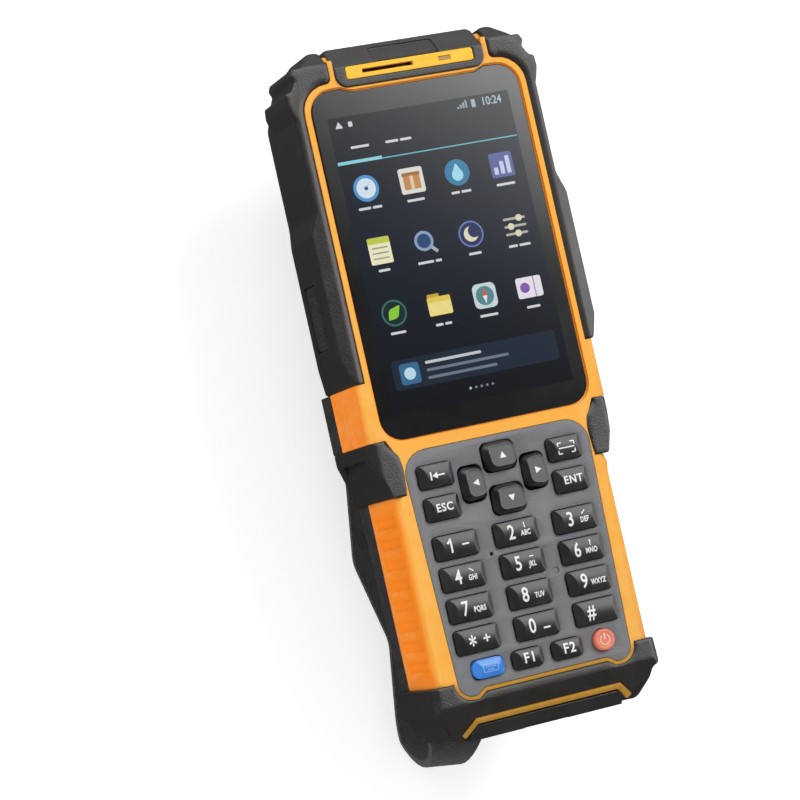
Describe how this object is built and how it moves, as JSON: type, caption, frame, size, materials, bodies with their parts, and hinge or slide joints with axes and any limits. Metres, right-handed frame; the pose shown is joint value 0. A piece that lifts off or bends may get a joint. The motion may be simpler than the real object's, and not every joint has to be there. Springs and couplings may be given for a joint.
{
  "type": "portable barcode data terminal",
  "caption": "Rugged hand-held data terminal with a touch screen, keypad, scanner hood at its top end, rubber bumpers, side scan buttons and a hand strap across its back.",
  "frame": {"origin": "middle of the object's footprint, on the surface that it lies on", "axes": "+X to the user's right, +Y towards the scanner end, +Z out of the screen"},
  "size_m": [0.0691, 0.1806, 0.0628],
  "materials": {
    "amber_plastic": "fine satin moulded texture",
    "dark_plastic": "fine matte moulded texture",
    "silicone": "smooth matte",
    "steel": "brushed",
    "rubber": "matte overmould with a fine grain",
    "button_rubber": "matte with raised dots",
    "screen_glass": "polished",
    "display": "glossy, lit",
    "clear_plastic": "clear polished",
    "component_black": "matte",
    "window_red": "deep red polished",
    "lens_glass": "polished",
    "circuit_board": "green solder mask",
    "panel_grey": "fine matte grain",
    "battery_wrap": "matte film",
    "webbing": "woven elastic",
    "key_black": "glossy",
    "key_blue": "glossy",
    "key_salmon": "satin gloss"
  },
  "bodies": {
    "terminal": {"front_housing": "amber_plastic", "rear_housing": "dark_plastic", "housing_seal": "silicone", "housing_screws": "steel", "bumper_left": "rubber", "bumper_right": "rubber", "scanner_hood": "rubber", "grip_pad_left": "rubber", "grip_pad_right": "rubber", "bottom_bumper": "rubber", "cover_pin": "steel", "dock_connector": "steel", "touch_glass": "screen_glass", "lcd_module": "display", "display_bracket": "steel", "receiver_strip": "amber_plastic", "earpiece": "component_black", "light_pipe": "clear_plastic", "scan_engine": "component_black", "scan_window": "window_red", "main_board": "circuit_board", "shield_cans": "steel", "keypad_panel": "panel_grey", "keypad_mat": "silicone", "keypad_board": "circuit_board", "camera_module": "component_black", "camera_window": "lens_glass", "loudspeaker": "component_black", "side_switches": "component_black", "battery": "battery_wrap", "hand_strap": "webbing", "strap_buckle": "dark_plastic"},
    "key_back": {"key_back": "key_black"},
    "key_escape": {"key_escape": "key_black"},
    "key_scan": {"key_scan": "key_black"},
    "key_enter": {"key_enter": "key_black"},
    "key_up_arrow": {"key_up_arrow": "key_black"},
    "key_down_arrow": {"key_down_arrow": "key_black"},
    "key_left_arrow": {"key_left_arrow": "key_black"},
    "key_right_arrow": {"key_right_arrow": "key_black"},
    "key_1": {"key_1": "key_black"},
    "key_2": {"key_2": "key_black"},
    "key_3": {"key_3": "key_black"},
    "key_4": {"key_4": "key_black"},
    "key_5": {"key_5": "key_black"},
    "key_6": {"key_6": "key_black"},
    "key_7": {"key_7": "key_black"},
    "key_8": {"key_8": "key_black"},
    "key_9": {"key_9": "key_black"},
    "key_star": {"key_star": "key_black"},
    "key_0": {"key_0": "key_black"},
    "key_hash": {"key_hash": "key_black"},
    "key_input": {"key_input": "key_blue"},
    "key_f1": {"key_f1": "key_black"},
    "key_f2": {"key_f2": "key_black"},
    "key_power": {"key_power": "key_salmon"},
    "port_cover": {"port_cover": "rubber"},
    "battery_door": {"battery_door": "dark_plastic"},
    "scan_button_left": {"scan_button_left": "button_rubber"},
    "scan_button_right": {"scan_button_right": "button_rubber"}
  },
  "joints": [
    {"name": "port_cover_hinge", "type": "hinge", "parent": "terminal", "child": "port_cover", "pos_m": [0, -0.0805, 0.0368], "axis": [1, 0, 0], "range_deg": [0, 100]},
    {"name": "battery_door_lift", "type": "slide", "parent": "terminal", "child": "battery_door", "axis": [0, 0, -1], "range_m": [0, 0.012]},
    {"name": "left_scan_press", "type": "slide", "parent": "terminal", "child": "scan_button_left", "axis": [1, 0, 0], "range_m": [0, 0.0006], "stiffness_N_per_m": 2500},
    {"name": "right_scan_press", "type": "slide", "parent": "terminal", "child": "scan_button_right", "axis": [-1, 0, 0], "range_m": [0, 0.0006], "stiffness_N_per_m": 2500},
    {"name": "key_back_press", "type": "slide", "parent": "terminal", "child": "key_back", "axis": [0, 0, -1], "range_m": [0, 0.0008], "stiffness_N_per_m": 1500},
    {"name": "key_escape_press", "type": "slide", "parent": "terminal", "child": "key_escape", "axis": [0, 0, -1], "range_m": [0, 0.0008], "stiffness_N_per_m": 1500},
    {"name": "key_scan_press", "type": "slide", "parent": "terminal", "child": "key_scan", "axis": [0, 0, -1], "range_m": [0, 0.0008], "stiffness_N_per_m": 1500},
    {"name": "key_enter_press", "type": "slide", "parent": "terminal", "child": "key_enter", "axis": [0, 0, -1], "range_m": [0, 0.0008], "stiffness_N_per_m": 1500},
    {"name": "key_up_arrow_press", "type": "slide", "parent": "terminal", "child": "key_up_arrow", "axis": [0, 0, -1], "range_m": [0, 0.0008], "stiffness_N_per_m": 1500},
    {"name": "key_down_arrow_press", "type": "slide", "parent": "terminal", "child": "key_down_arrow", "axis": [0, 0, -1], "range_m": [0, 0.0008], "stiffness_N_per_m": 1500},
    {"name": "key_left_arrow_press", "type": "slide", "parent": "terminal", "child": "key_left_arrow", "axis": [0, 0, -1], "range_m": [0, 0.0008], "stiffness_N_per_m": 1500},
    {"name": "key_right_arrow_press", "type": "slide", "parent": "terminal", "child": "key_right_arrow", "axis": [0, 0, -1], "range_m": [0, 0.0008], "stiffness_N_per_m": 1500},
    {"name": "key_1_press", "type": "slide", "parent": "terminal", "child": "key_1", "axis": [0, 0, -1], "range_m": [0, 0.0008], "stiffness_N_per_m": 1500},
    {"name": "key_2_press", "type": "slide", "parent": "terminal", "child": "key_2", "axis": [0, 0, -1], "range_m": [0, 0.0008], "stiffness_N_per_m": 1500},
    {"name": "key_3_press", "type": "slide", "parent": "terminal", "child": "key_3", "axis": [0, 0, -1], "range_m": [0, 0.0008], "stiffness_N_per_m": 1500},
    {"name": "key_4_press", "type": "slide", "parent": "terminal", "child": "key_4", "axis": [0, 0, -1], "range_m": [0, 0.0008], "stiffness_N_per_m": 1500},
    {"name": "key_5_press", "type": "slide", "parent": "terminal", "child": "key_5", "axis": [0, 0, -1], "range_m": [0, 0.0008], "stiffness_N_per_m": 1500},
    {"name": "key_6_press", "type": "slide", "parent": "terminal", "child": "key_6", "axis": [0, 0, -1], "range_m": [0, 0.0008], "stiffness_N_per_m": 1500},
    {"name": "key_7_press", "type": "slide", "parent": "terminal", "child": "key_7", "axis": [0, 0, -1], "range_m": [0, 0.0008], "stiffness_N_per_m": 1500},
    {"name": "key_8_press", "type": "slide", "parent": "terminal", "child": "key_8", "axis": [0, 0, -1], "range_m": [0, 0.0008], "stiffness_N_per_m": 1500},
    {"name": "key_9_press", "type": "slide", "parent": "terminal", "child": "key_9", "axis": [0, 0, -1], "range_m": [0, 0.0008], "stiffness_N_per_m": 1500},
    {"name": "key_star_press", "type": "slide", "parent": "terminal", "child": "key_star", "axis": [0, 0, -1], "range_m": [0, 0.0008], "stiffness_N_per_m": 1500},
    {"name": "key_0_press", "type": "slide", "parent": "terminal", "child": "key_0", "axis": [0, 0, -1], "range_m": [0, 0.0008], "stiffness_N_per_m": 1500},
    {"name": "key_hash_press", "type": "slide", "parent": "terminal", "child": "key_hash", "axis": [0, 0, -1], "range_m": [0, 0.0008], "stiffness_N_per_m": 1500},
    {"name": "key_input_press", "type": "slide", "parent": "terminal", "child": "key_input", "axis": [0, 0, -1], "range_m": [0, 0.0008], "stiffness_N_per_m": 1500},
    {"name": "key_f1_press", "type": "slide", "parent": "terminal", "child": "key_f1", "axis": [0, 0, -1], "range_m": [0, 0.0008], "stiffness_N_per_m": 1500},
    {"name": "key_f2_press", "type": "slide", "parent": "terminal", "child": "key_f2", "axis": [0, 0, -1], "range_m": [0, 0.0008], "stiffness_N_per_m": 1500},
    {"name": "key_power_press", "type": "slide", "parent": "terminal", "child": "key_power", "axis": [0, 0, -1], "range_m": [0, 0.0008], "stiffness_N_per_m": 1500}
  ]
}
